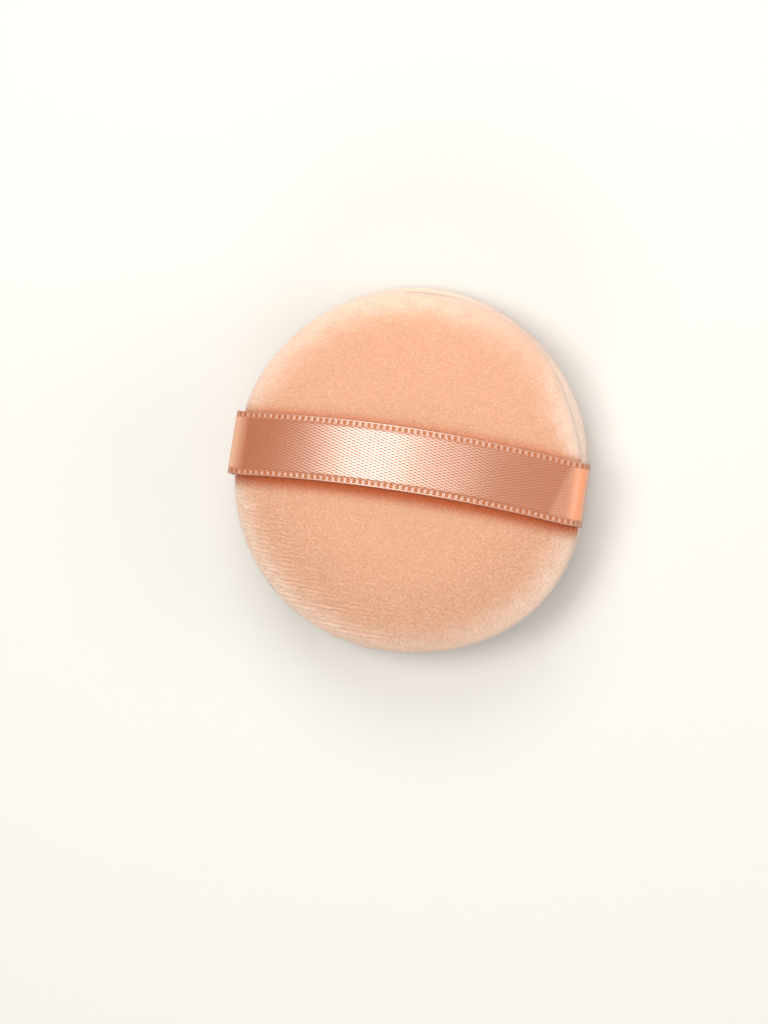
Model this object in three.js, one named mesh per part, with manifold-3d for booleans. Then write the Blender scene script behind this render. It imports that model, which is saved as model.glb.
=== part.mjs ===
// A round cosmetic powder puff. Two velour covers are seamed together at the rim over a sponge
// core, and a satin ribbon, its ends caught in the seam, crosses the crown as a finger band.
// Units are millimetres and +Z is up. The puff lies on its powder face, and the origin is the
// centre of that face. The ribbon runs along X.
import * as THREE from "three";
import { mergeVertices } from "three/addons/utils/BufferGeometryUtils.js";
import Module from "manifold-3d";

const wasm = await Module();
wasm.setup();

// Pad
const padDiameter = 57.6; // across the ribbon
const ribbonPull = 0.6; // how far the ribbon draws either side in
const ribbonSideRise = 11.5; // seam plane up to the crown
const powderSideDrop = 10.5; // seam plane down to the resting face
const restFlatDiameter = 28; // the part of the powder face that lies flat
const lipHeight = 3.6; // seam plane to the widest ring of either cover
const seamGrooveDepth = 1.3; // how far the covers tuck in at the seam
const crownPower = 2.1; // superellipse power of both domes

// Covers
const velourThickness = 1.6; // knitted ground with its pile
const allowanceThickness = 1.0; // the same fabric pressed flat in the seam
const stitchSetback = 0.9; // cover's inner wall to the stitch line
const seamAllowance = 2.6; // stitch line to the raw edge

// Ribbon
const ribbonWidth = 10;
const ribbonThickness = 0.3;
const selvedgeWidth = 1.1; // woven edge on either side
const selvedgeThickness = 0.42;
const ribbonCrownGap = 1.6; // crown to the ribbon's underside, with the ribbon upright
const ribbonShoulderDrop = 5; // ribbon's crown to its shoulders
const ribbonTurnRadius = 2.4; // the turn at either shoulder
const ribbonRimGap = 0.4; // pad's rim to the ribbon's leg
const ribbonTailLength = 2.2; // how far a tail runs in past the stitch line
const ribbonLean = THREE.MathUtils.degToRad(8); // pushed a little towards +Y
const ribbonBow = 1.2; // and further at its middle, where the weave gives

// Threads
const threadDiameter = 0.35;
const threadSeat = 0.15; // allowance to the thread that lies on it
const stitchHoleClearance = 0.2;
const stitchLength = 5;
const closingStitchLength = 5;
const closingLength = 33; // the opening that the core went in through
const closingCentre = THREE.MathUtils.degToRad(80);

// Between pieces that lie against each other
const fabricGap = 0.3;

// How finely round shapes are faceted
const padSegments = 36;
const domeSteps = 9;
const innerDomeSteps = 4;
const lipSteps = 3;
const turnSteps = 5;
const arcSteps = 16;
const threadSides = 5;
const holeSides = 6;

const padRadius = padDiameter / 2;
const drawnRadius = padRadius - ribbonPull;
const drawnShare = drawnRadius / padRadius;
const allowanceTop = fabricGap / 2 + allowanceThickness;
const coverInnerRadius = padRadius - velourThickness;
const stitchRadius = coverInnerRadius - stitchSetback;
const rawEdgeRadius = stitchRadius - seamAllowance;
const threadLevel = allowanceTop + threadSeat + threadDiameter / 2;
const holeRadius = threadDiameter / 2 + stitchHoleClearance;

const velour = new THREE.MeshStandardMaterial({ color: 0xf2b592, roughness: 0.95, metalness: 0 });
const satin = new THREE.MeshStandardMaterial({ color: 0xdf9a78, roughness: 0.35, metalness: 0 });
const sponge = new THREE.MeshStandardMaterial({ color: 0xf6ecdc, roughness: 0.9, metalness: 0 });
const thread = new THREE.MeshStandardMaterial({ color: 0xeba982, roughness: 0.6, metalness: 0 });

// Conversions between three.js geometry and solids that can be joined and cut

function toSolid(geometry) {
  const plain = new THREE.BufferGeometry();
  const source = geometry.index ? geometry.toNonIndexed() : geometry;
  plain.setAttribute("position", source.getAttribute("position"));
  const merged = mergeVertices(plain);
  const corners = merged.index.array;
  const kept = [];
  for (let i = 0; i < corners.length; i += 3) {
    const [a, b, c] = corners.slice(i, i + 3);
    if (a !== b && b !== c && c !== a) kept.push(a, b, c);
  }
  return new wasm.Manifold(
    new wasm.Mesh({
      numProp: 3,
      vertProperties: merged.attributes.position.array,
      triVerts: new Uint32Array(kept),
    }),
  );
}

function toMesh(name, solid, material) {
  const mesh = solid.getMesh();
  const points = new Float32Array(mesh.numVert * 3);
  for (let i = 0; i < mesh.numVert; i++) {
    const start = i * mesh.numProp;
    points.set(mesh.vertProperties.subarray(start, start + 3), i * 3);
  }
  const geometry = new THREE.BufferGeometry();
  geometry.setAttribute("position", new THREE.BufferAttribute(points, 3));
  geometry.setIndex(new THREE.BufferAttribute(mesh.triVerts, 1));
  geometry.computeVertexNormals();
  const piece = new THREE.Mesh(geometry, material);
  piece.name = name;
  return piece;
}

// Turns a closed outline of [radius, height] round the Z axis, drawn in along the ribbon
function revolve(outline) {
  const points = outline.map(([radius, height]) => new THREE.Vector2(radius, height));
  const turned = new THREE.LatheGeometry(points, padSegments).rotateX(Math.PI / 2);
  return toSolid(turned.scale(drawnShare, 1, 1));
}

// Joins rings of corners into one skin. Its ends are closed by the faces of the flat section.
function loft(rings, section) {
  const sides = section.length;
  const faces = [];
  for (let start = 0; start < (rings.length - 1) * sides; start += sides) {
    for (let side = 0; side < sides; side++) {
      const a = start + side;
      const b = start + ((side + 1) % sides);
      faces.push(a, b, b + sides, a, b + sides, a + sides);
    }
  }
  const last = (rings.length - 1) * sides;
  for (const [a, b, c] of THREE.ShapeUtils.triangulateShape(section, [])) {
    faces.push(a, c, b);
    faces.push(last + a, last + b, last + c);
  }
  const corners = rings.flat().flatMap((corner) => corner.toArray());
  const geometry = new THREE.BufferGeometry();
  geometry.setAttribute("position", new THREE.BufferAttribute(new Float32Array(corners), 3));
  geometry.setIndex(faces);
  return toSolid(geometry);
}

// A quarter of a superellipse, from [outerRadius, base] to [innerRadius, base + rise]
function domeCurve(outerRadius, innerRadius, base, rise, steps) {
  const points = [];
  for (let i = 0; i <= steps; i++) {
    const angle = (Math.PI / 2) * (i / steps);
    const across = Math.max(0, Math.cos(angle)) ** (2 / crownPower);
    const up = Math.sin(angle) ** (2 / crownPower);
    const radius = i === steps ? innerRadius : innerRadius + (outerRadius - innerRadius) * across;
    points.push([radius, base + rise * up]);
  }
  return points;
}

// The rounded lip, from the seam groove out to the widest ring
function lipCurve() {
  const points = [];
  for (let i = 0; i < lipSteps; i++) {
    const angle = (Math.PI / 2) * (i / lipSteps);
    const radius = padRadius - seamGrooveDepth * (1 - Math.sin(angle));
    points.push([radius, lipHeight + (fabricGap / 2 - lipHeight) * Math.cos(angle)]);
  }
  return points;
}

// One cover as an outline above the seam plane: lip, dome, inner wall and turned-in allowance
function coverOutline(rise, flatRadius) {
  const dome = domeCurve(padRadius, flatRadius, lipHeight, rise - lipHeight, domeSteps);
  const innerRise = rise - velourThickness - lipHeight;
  const inner = domeCurve(coverInnerRadius, flatRadius, lipHeight, innerRise, innerDomeSteps);
  const crown = flatRadius > 0 ? [[0, rise], [0, rise - velourThickness]] : [];
  return [
    [rawEdgeRadius, fabricGap / 2],
    ...lipCurve(),
    ...dome,
    ...crown,
    ...inner.reverse(),
    [coverInnerRadius, allowanceTop],
    [rawEdgeRadius, allowanceTop],
    [rawEdgeRadius, fabricGap / 2],
  ];
}

// The space that a ribbon tail takes up in the seam, grown by a margin on every side
function tailBlock(side, margin) {
  const innerEnd = stitchRadius * drawnShare - ribbonTailLength - margin;
  const outerEnd = drawnRadius + ribbonRimGap - fabricGap + margin;
  const length = outerEnd - innerEnd;
  const block = new THREE.BoxGeometry(length, ribbonWidth + 2 * margin, ribbonThickness + 2 * margin);
  return toSolid(block.translate(side * (innerEnd + length / 2), 0, 0));
}

// Angles of the needle holes of a row of stitches between two angles
function holeAngles(from, to, length) {
  const count = Math.max(2, Math.round(((to - from) * stitchRadius) / length));
  const step = (to - from) / count;
  return Array.from({ length: count }, (_, i) => from + step * (i + 1 / 2));
}

function onSeam(angle, height) {
  const x = stitchRadius * drawnShare * Math.cos(angle);
  return new THREE.Vector3(x, stitchRadius * Math.sin(angle), height);
}

function needleHoles(angles) {
  const height = 2 * (threadLevel + threadDiameter);
  const holes = angles.map((angle) => {
    const hole = new THREE.CylinderGeometry(holeRadius, holeRadius, height, holeSides);
    return toSolid(hole.rotateX(Math.PI / 2).rotateZ(angle).translate(...onSeam(angle, 0)));
  });
  return wasm.Manifold.union(holes);
}

// A round thread along a line of points
function threadAlong(line) {
  const section = Array.from({ length: threadSides }, (_, side) => {
    const angle = (2 * Math.PI * side) / threadSides;
    return new THREE.Vector2(Math.cos(angle), Math.sin(angle)).multiplyScalar(threadDiameter / 2);
  });
  const across = new THREE.Vector3(0, 0, 1);
  const rings = line.map((point, i) => {
    const ahead = line[Math.min(i + 1, line.length - 1)].clone().sub(point).normalize();
    const behind = point.clone().sub(line[Math.max(i - 1, 0)]).normalize();
    const tangent = ahead.add(behind).normalize();
    across.addScaledVector(tangent, -across.dot(tangent)).normalize();
    const other = tangent.clone().cross(across);
    return section.map(({ x, y }) => point.clone().addScaledVector(across, x).addScaledVector(other, y));
  });
  return loft(rings, section);
}

// A running stitch: over the allowances, down through a hole, under them and up the next
function stitches(angles) {
  const bend = threadDiameter / stitchRadius;
  const spare = fabricGap / stitchRadius;
  const [last, beforeLast] = [...angles].reverse();
  const line = [onSeam(angles[0] - (angles[1] - angles[0]) / 2 + spare, threadLevel)];
  angles.forEach((angle, i) => {
    const level = i % 2 ? -threadLevel : threadLevel;
    const turn = Math.sign(level) * threadDiameter;
    line.push(onSeam(angle - bend, level), onSeam(angle, level - turn));
    line.push(onSeam(angle, turn - level), onSeam(angle + bend, -level));
  });
  const lastLevel = angles.length % 2 ? -threadLevel : threadLevel;
  line.push(onSeam(last + (last - beforeLast) / 2 - spare, lastLevel));
  return threadAlong(line);
}

// The ribbon's section, as [across, out]: a thin web between two thicker selvedges
function ribbonSection() {
  const edge = ribbonWidth / 2;
  const web = edge - selvedgeWidth;
  const half = [
    [-edge, -selvedgeThickness / 2],
    [-web, -selvedgeThickness / 2],
    [-web, -ribbonThickness / 2],
    [web, -ribbonThickness / 2],
    [web, -selvedgeThickness / 2],
    [edge, -selvedgeThickness / 2],
  ];
  const turned = half.map(([across, out]) => [-across, -out]);
  return [...half, ...turned].map(([across, out]) => new THREE.Vector2(across, out));
}

// Points on an arc in the ribbon's side view, each with the direction that faces out there
function sideArc(centreX, centreZ, radius, from, to, steps) {
  return Array.from({ length: steps + 1 }, (_, i) => {
    const out = from + ((to - from) * i) / steps;
    return { x: centreX + radius * Math.cos(out), z: centreZ + radius * Math.sin(out), out };
  });
}

// The ribbon's side view from seam to seam: leg, turn, long shallow arc, turn and leg
function ribbonLine() {
  const legX = drawnRadius + ribbonRimGap + ribbonThickness / 2;
  const crownZ = ribbonSideRise + ribbonCrownGap + ribbonThickness / 2;
  const arcRadius = (legX ** 2 + ribbonShoulderDrop ** 2) / (2 * ribbonShoulderDrop);
  const arcZ = crownZ - arcRadius;
  const turnX = legX - ribbonTurnRadius;
  const turnZ = arcZ + Math.sqrt((arcRadius - ribbonTurnRadius) ** 2 - turnX ** 2);
  const turned = Math.atan2(turnZ - arcZ, turnX);
  const foot = -ribbonThickness / 2;
  const line = [
    { x: -legX, z: foot, out: Math.PI },
    ...sideArc(-turnX, turnZ, ribbonTurnRadius, Math.PI, Math.PI - turned, turnSteps),
    ...sideArc(0, arcZ, arcRadius, Math.PI - turned, turned, arcSteps).slice(1),
    ...sideArc(turnX, turnZ, ribbonTurnRadius, turned, 0, turnSteps).slice(1),
    { x: legX, z: foot, out: 0 },
  ];
  return line.map((point) => ({ ...point, y: ribbonBow * Math.max(0, 1 - (point.x / turnX) ** 2) }));
}

// Pieces

const closingHalf = closingLength / stitchRadius / 2;
const closingFrom = closingCentre - closingHalf;
const closingTo = closingCentre + closingHalf;
// The row starts afresh at the middle of each tail, so that two stitches always hold it
const seamHoles = [
  ...holeAngles(closingTo, Math.PI, stitchLength),
  ...holeAngles(Math.PI, 2 * Math.PI, stitchLength),
  ...holeAngles(2 * Math.PI, 2 * Math.PI + closingFrom, stitchLength),
];
const closingHoles = holeAngles(closingFrom, closingTo, closingStitchLength);
const allHoles = needleHoles([...seamHoles, ...closingHoles]);
const tailPockets = tailBlock(1, fabricGap).add(tailBlock(-1, fabricGap));

function ribbonSideCover() {
  const outline = coverOutline(ribbonSideRise, 0);
  return revolve(outline).subtract(tailPockets).subtract(allHoles);
}

function powderSideCover() {
  const outline = coverOutline(powderSideDrop, restFlatDiameter / 2);
  const mirrored = outline.map(([radius, height]) => [radius, -height]).reverse();
  return revolve(mirrored).subtract(tailPockets).subtract(allHoles);
}

// The sponge fills the covers, with a groove that the turned-in allowances press into it
function foamCore() {
  const wall = coverInnerRadius - fabricGap;
  const inset = velourThickness + fabricGap;
  const grooveTop = threadLevel + threadDiameter / 2 + fabricGap;
  const upperRise = ribbonSideRise - inset - lipHeight;
  const upper = domeCurve(wall, 0, lipHeight, upperRise, innerDomeSteps);
  const lowerRise = powderSideDrop - inset - lipHeight;
  const lower = domeCurve(wall, restFlatDiameter / 2, lipHeight, lowerRise, innerDomeSteps);
  const outline = [
    [0, inset - powderSideDrop],
    ...lower.reverse().map(([radius, height]) => [radius, -height]),
    [wall, -grooveTop],
    [rawEdgeRadius - fabricGap, -grooveTop],
    [rawEdgeRadius - fabricGap, grooveTop],
    [wall, grooveTop],
    ...upper,
  ];
  return revolve(outline);
}

function ribbonBand() {
  const section = ribbonSection();
  const rings = ribbonLine().map(({ x, y, z, out }) =>
    section.map((corner) => {
      const place = new THREE.Vector3(x, y + corner.x, z);
      return place.addScaledVector(new THREE.Vector3(Math.cos(out), 0, Math.sin(out)), corner.y);
    }),
  );
  return loft(rings, section);
}

function ribbonTail(side) {
  return tailBlock(side, 0).subtract(needleHoles(seamHoles));
}

const seam = new THREE.Group();
seam.position.z = powderSideDrop;
seam.add(
  toMesh("ribbon_side_cover", ribbonSideCover(), velour),
  toMesh("powder_side_cover", powderSideCover(), velour),
  toMesh("foam_core", foamCore(), sponge),
  toMesh("ribbon_tail_right", ribbonTail(1), satin),
  toMesh("ribbon_tail_left", ribbonTail(-1), satin),
  toMesh("rim_seam_thread", stitches(seamHoles), thread),
  toMesh("closing_thread", stitches(closingHoles), thread),
);

// The band swings about the line through its two sewn ends
const swing = new THREE.Group();
swing.rotation.x = -ribbonLean;
swing.add(toMesh("ribbon_band", ribbonBand(), satin));
seam.add(swing);

const puff = new THREE.Group();
puff.add(seam);

export default puff;
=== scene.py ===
import math
import bpy
from mathutils import Matrix, Vector, noise


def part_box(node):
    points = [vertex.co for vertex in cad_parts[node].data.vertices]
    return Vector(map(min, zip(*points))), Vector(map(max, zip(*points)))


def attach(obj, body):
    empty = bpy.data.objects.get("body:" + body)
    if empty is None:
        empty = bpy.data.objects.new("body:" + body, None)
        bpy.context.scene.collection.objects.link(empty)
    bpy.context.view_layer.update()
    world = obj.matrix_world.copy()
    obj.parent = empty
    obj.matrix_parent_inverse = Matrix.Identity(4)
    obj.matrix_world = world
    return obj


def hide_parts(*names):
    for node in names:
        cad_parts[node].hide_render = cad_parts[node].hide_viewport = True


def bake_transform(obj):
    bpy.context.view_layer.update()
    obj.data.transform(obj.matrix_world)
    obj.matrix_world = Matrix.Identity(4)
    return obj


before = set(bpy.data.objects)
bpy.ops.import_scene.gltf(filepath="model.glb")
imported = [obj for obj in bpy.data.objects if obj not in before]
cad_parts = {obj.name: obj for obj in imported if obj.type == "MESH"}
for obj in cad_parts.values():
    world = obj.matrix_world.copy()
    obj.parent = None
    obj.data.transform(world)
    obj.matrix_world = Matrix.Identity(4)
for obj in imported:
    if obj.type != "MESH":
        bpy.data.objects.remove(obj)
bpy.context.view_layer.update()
print("frame loaded, nodes:", len(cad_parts))

mm = 0.001
padLow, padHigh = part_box("ribbon_side_cover")
powderLow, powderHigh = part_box("powder_side_cover")
seamHeight = (padLow.z + powderHigh.z) / 2  # the plane that both covers meet in
padAcross = padHigh.y  # radius across the ribbon
padAlong = padHigh.x  # radius along the ribbon, which draws the pad in a little
powderRise = seamHeight - powderLow.z


# Small helpers

def clearSelection():
    if bpy.context.object and bpy.context.object.mode != "OBJECT":
        bpy.ops.object.mode_set(mode="OBJECT")
    bpy.ops.object.select_all(action="DESELECT")


def makeActive(piece):
    clearSelection()
    piece.select_set(True)
    bpy.context.view_layer.objects.active = piece


def placeInMesh(piece):  # location, turn and scale go into the mesh
    makeActive(piece)
    bpy.ops.object.transform_apply(location=True, rotation=True, scale=True)


def addModifier(piece, kind, **settings):
    makeActive(piece)
    modifier = piece.modifiers.new(kind.title(), kind)
    for name, value in settings.items():
        setattr(modifier, name, value)
    bpy.ops.object.modifier_apply(modifier=modifier.name)


def moveVertices(piece, rule):
    for vertex in piece.data.vertices:
        vertex.co = rule(vertex.co)
    piece.data.update()


def rememberAt(piece, name, rule):  # one number at each vertex, for the materials and the fibres
    layer = piece.data.attributes.new(name, "FLOAT", "POINT")
    layer.data.foreach_set("value", [rule(vertex.co) for vertex in piece.data.vertices])


def selectFaces(piece, rule):  # leaves edit mode on, with only these faces selected
    makeActive(piece)
    bpy.ops.object.mode_set(mode="EDIT")
    bpy.ops.mesh.select_mode(type="FACE")
    bpy.ops.mesh.select_all(action="DESELECT")
    bpy.ops.object.mode_set(mode="OBJECT")
    for face in piece.data.polygons:
        face.select = rule(face.center)
    bpy.ops.object.mode_set(mode="EDIT")


def easeIn(value, start, end):
    share = min(1.0, max(0.0, (value - start) / (end - start)))
    return share * share * (3 - 2 * share)


def finishWith(piece, material):
    piece.data.materials.clear()
    piece.data.materials.append(material)


# Material helpers

def newMaterial(name):
    material = bpy.data.materials.new(name)
    material.use_nodes = True
    tree = material.node_tree
    tree.nodes.clear()
    output = tree.nodes.new("ShaderNodeOutputMaterial")
    shader = tree.nodes.new("ShaderNodeBsdfPrincipled")
    tree.links.new(shader.outputs["BSDF"], output.inputs["Surface"])
    return material, tree, shader


def addNode(tree, kind, inputs=None, **settings):
    node = tree.nodes.new(kind)
    for name, value in settings.items():
        setattr(node, name, value)
    for name, value in (inputs or {}).items():
        if isinstance(value, bpy.types.NodeSocket):
            tree.links.new(value, node.inputs[name])
        else:
            node.inputs[name].default_value = value
    return node


def addMath(tree, operation, first, second=0.0):
    return addNode(tree, "ShaderNodeMath", {0: first, 1: second}, operation=operation).outputs[0]


def mixColours(tree, share, first, second, blend="MIX"):
    node = tree.nodes.new("ShaderNodeMix")
    node.data_type = "RGBA"
    node.blend_type = blend
    for index, value in ((0, share), (6, first), (7, second)):
        if isinstance(value, bpy.types.NodeSocket):
            tree.links.new(value, node.inputs[index])
        else:
            node.inputs[index].default_value = value
    return node.outputs[2]


def colour(red, green, blue):
    return (red, green, blue, 1.0)


# Camera, above the crown and a little towards the upper right of the picture

view = {
    "distance": 0.70,
    "lens": 155.0,
    "towardsRight": 7.0,  # degrees off the pad's axis
    "towardsTop": 6.5,
    "roll": 8.0,  # the ribbon runs this many degrees down to the right
    "middlePixel": (411.5, 470.0),
    "pixelSize": 0.159 * mm,
    "imageSize": (768, 1024),
}


def setCamera():
    roll = math.radians(view["roll"])
    right = Vector((math.cos(roll), math.sin(roll), 0))
    top = Vector((-math.sin(roll), math.cos(roll), 0))
    lookFrom = Vector((0, 0, 1))
    lookFrom += right * math.tan(math.radians(view["towardsRight"]))
    lookFrom += top * math.tan(math.radians(view["towardsTop"]))
    lookFrom.normalize()
    cameraUp = (top - lookFrom * top.dot(lookFrom)).normalized()
    cameraRight = cameraUp.cross(lookFrom)
    middle = Vector((0, 0, seamHeight))
    offRight = (view["middlePixel"][0] - view["imageSize"][0] / 2) * view["pixelSize"]
    offTop = (view["imageSize"][1] / 2 - view["middlePixel"][1]) * view["pixelSize"]
    place = middle + lookFrom * view["distance"] - cameraRight * offRight - cameraUp * offTop
    turn = Matrix((cameraRight, cameraUp, lookFrom)).transposed().to_4x4()
    bpy.ops.object.camera_add()
    camera = bpy.context.object
    camera.matrix_world = Matrix.Translation(place) @ turn
    camera.data.lens = view["lens"]
    camera.data.clip_start = 0.01
    bpy.context.scene.camera = camera
    return right, top


clearSelection()
pictureRight, pictureTop = setCamera()
print("camera set")


# Light: a softbox near the camera that the satin mirrors, a wide light from the picture's top

studio = {
    "floorColour": colour(0.72, 0.714, 0.694),
    "floorSize": 1.6,
    "zenithAir": colour(0.15, 0.152, 0.158),
    "horizonAir": colour(1.15, 1.165, 1.19),
    "lights": (
        # name, degrees right, degrees towards the top, distance, size, watts, colour
        ("keySoftbox", -15.0, 9.5, 0.60, 0.22, 1.36, (1.0, 0.965, 0.90)),
        ("keySkirt", -1.5, 9.5, 0.61, 0.26, 0.74, (1.0, 0.955, 0.88)),
        ("topSoftbox", -2.0, 43.0, 0.62, 0.36, 1.60, (1.0, 0.99, 0.97)),
        ("middleFill", 22.0, 9.5, 0.62, 0.42, 0.44, (1.0, 0.955, 0.88)),
        ("rightFill", 58.0, 8.0, 0.70, 0.40, 1.04, (1.0, 0.98, 0.96)),
        ("bottomFill", -12.0, -60.0, 0.70, 0.40, 0.96, (1.0, 0.97, 0.94)),
    ),
}


def setStudio():
    clearSelection()
    bpy.ops.mesh.primitive_plane_add(size=studio["floorSize"])
    floor = bpy.context.object
    floor.name = "floor"
    material, tree, shader = newMaterial("paleFloor")
    shader.inputs["Base Color"].default_value = studio["floorColour"]
    shader.inputs["Roughness"].default_value = 0.8
    floor.data.materials.append(material)
    world = bpy.data.worlds.new("studioAir")
    world.use_nodes = True
    tree = world.node_tree
    way = addNode(tree, "ShaderNodeTexCoord").outputs["Generated"]
    height = addNode(tree, "ShaderNodeSeparateXYZ", {0: way}).outputs["Z"]
    low = addMath(tree, "SUBTRACT", 1.0, addMath(tree, "ABSOLUTE", height))
    share = addMath(tree, "POWER", low, 2.0)
    air = mixColours(tree, share, studio["zenithAir"], studio["horizonAir"])
    tree.links.new(air, tree.nodes["Background"].inputs["Color"])
    bpy.context.scene.world = world
    middle = Vector((0, 0, seamHeight))
    for name, turnRight, turnTop, distance, size, watts, tint in studio["lights"]:
        direction = Vector((0, 0, 1))
        direction += pictureRight * math.tan(math.radians(turnRight))
        direction += pictureTop * math.tan(math.radians(turnTop))
        direction.normalize()
        bpy.ops.object.light_add(type="AREA", location=middle + direction * distance)
        lamp = bpy.context.object
        lamp.name = name
        lamp.rotation_euler = direction.to_track_quat("Z", "Y").to_euler()
        lamp.data.shape = "DISK"
        lamp.data.size = size
        lamp.data.energy = watts
        lamp.data.color = tint
    bpy.context.scene.view_settings.view_transform = "Standard"


setStudio()
print("studio set")


# Shared effect: soft mottling of a fabric, as a shade from 0 to 1 and a height

def buildMottleGroup():
    group = bpy.data.node_groups.new("fabricMottle", "ShaderNodeTree")
    for name, kind, value in (
        ("Vector", "NodeSocketVector", None),
        ("Fine Scale", "NodeSocketFloat", 4000.0),
        ("Broad Scale", "NodeSocketFloat", 500.0),
        ("Broad Share", "NodeSocketFloat", 0.4),
    ):
        socket = group.interface.new_socket(name, in_out="INPUT", socket_type=kind)
        if value is not None:
            socket.default_value = value
    group.interface.new_socket("Shade", in_out="OUTPUT", socket_type="NodeSocketFloat")
    given = group.nodes.new("NodeGroupInput")
    result = group.nodes.new("NodeGroupOutput")
    fine = addNode(group, "ShaderNodeTexNoise", {
        "Vector": given.outputs["Vector"], "Scale": given.outputs["Fine Scale"], "Detail": 2.0})
    broad = addNode(group, "ShaderNodeTexNoise", {
        "Vector": given.outputs["Vector"], "Scale": given.outputs["Broad Scale"], "Detail": 3.0})
    mixed = addNode(group, "ShaderNodeMix", {
        0: given.outputs["Broad Share"], 2: fine.outputs["Fac"], 3: broad.outputs["Fac"]})
    spread = addNode(group, "ShaderNodeMapRange", {
        "Value": mixed.outputs[0], "From Min": 0.3, "From Max": 0.7})
    group.links.new(spread.outputs["Result"], result.inputs["Shade"])
    return group


mottleGroup = buildMottleGroup()


def addMottle(tree, vector, fineScale, broadScale, broadShare):
    node = addNode(tree, "ShaderNodeGroup", node_tree=mottleGroup)
    tree.links.new(vector, node.inputs["Vector"])
    node.inputs["Fine Scale"].default_value = fineScale
    node.inputs["Broad Scale"].default_value = broadScale
    node.inputs["Broad Share"].default_value = broadShare
    return node.outputs["Shade"]


# Velour: the knitted ground, and the pile that stands on it

velourLook = {
    # painted shadow: the pile's colour under and beside the ribbon, painted darker and redder as the
    # ribbon's shadow
    "rootRibbonShadow": colour(0.60, 0.145, 0.050),
    "rootColour": colour(0.75, 0.425, 0.275),
    # painted sheen: the pile towards the rim is painted lighter, as the sheen its fuzz catches at a slant
    "rootRim": colour(0.96, 0.78, 0.65),
    # painted shadow: the fibre tips' colour in the ribbon's shadow
    "tipRibbonShadow": colour(0.73, 0.32, 0.175),
    "tipColour": colour(0.81, 0.675, 0.58),
    # painted sheen: the fibre tips' colour on the rim
    "tipRim": colour(1.0, 0.94, 0.89),
    "paintedLightLevels": 8,
    "tipPower": 1.3,
    # the gaps between tufts and wales: partly the pile's patchy tone, partly painted shade among the tufts
    "darkFibreAndTuftShade": colour(0.86, 0.77, 0.73),
    "sheen": 0.8,
    "sheenRoughness": 0.4,
    "sheenTint": colour(1.0, 0.93, 0.86),
}


def paintedLightRamp(tree, tone, stem):  # from the painted ribbon shadow, over the crown's colour, to the painted sheen of the rim
    low = addNode(tree, "ShaderNodeMapRange", {"Value": tone, "From Max": 0.5}).outputs["Result"]
    high = addNode(tree, "ShaderNodeMapRange", {"Value": tone, "From Min": 0.5}).outputs["Result"]
    first = mixColours(tree, low, velourLook[stem + "RibbonShadow"], velourLook[stem + "Colour"])
    return mixColours(tree, high, first, velourLook[stem + "Rim"])


tuft = {
    "size": 0.34 * mm,
    "roughness": 0.8,
    "streakPitch": 0.72 * mm,
    "streakWander": 4.0,
    "streaked": 0.85,
    "streakHeights": (2.0 * mm, 5.5 * mm),
    "brokenSize": 0.9 * mm,
    "brokenStretch": 0.3,
    "low": 0.38,  # noise below this is a gap between tufts, and above the next a full tuft
    "high": 0.62,
    "sizeSwing": 0.5,
    "leanSwing": 1.1,
}


def addTufts(tree, place, streakShare, amount):  # below 0 in the gaps between tufts and above 0 on them; as colour, partly the pile's own patchy tone and partly painted shade among the tufts and wales
    tufts = addNode(tree, "ShaderNodeTexNoise", {
        "Vector": place, "Scale": 1 / tuft["size"], "Detail": 2.0, "Roughness": tuft["roughness"]})
    spread = addNode(tree, "ShaderNodeMapRange", {
        "Value": tufts.outputs["Fac"], "From Min": tuft["low"], "From Max": tuft["high"],
        "To Min": -0.5, "To Max": 0.5}).outputs["Result"]
    streaks = addNode(tree, "ShaderNodeTexWave", {
        "Vector": place, "Scale": math.pi / 10 / tuft["streakPitch"],
        "Distortion": tuft["streakWander"], "Detail": 2.0, "Detail Scale": 1.6,
        "Detail Roughness": 0.6}, bands_direction="Y")
    ridges = addNode(tree, "ShaderNodeMapRange", {
        "Value": streaks.outputs["Fac"], "From Max": 0.7, "To Min": -0.6, "To Max": 0.6})
    stretched = addNode(tree, "ShaderNodeVectorMath", {0: place, 1: (tuft["brokenStretch"], 1, 1)},
                        operation="MULTIPLY")
    broken = addNode(tree, "ShaderNodeTexNoise", {
        "Vector": stretched.outputs[0], "Scale": 1 / tuft["brokenSize"], "Detail": 1.0})
    whole = addNode(tree, "ShaderNodeMapRange", {
        "Value": broken.outputs["Fac"], "From Min": tuft["low"], "From Max": tuft["high"]})
    share = addMath(tree, "MULTIPLY", streakShare, whole.outputs["Result"])
    mixed = addNode(tree, "ShaderNodeMix", {0: share, 2: spread, 3: ridges.outputs["Result"]})
    return addMath(tree, "MULTIPLY", mixed.outputs[0], amount), tufts.outputs["Color"]


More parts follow.
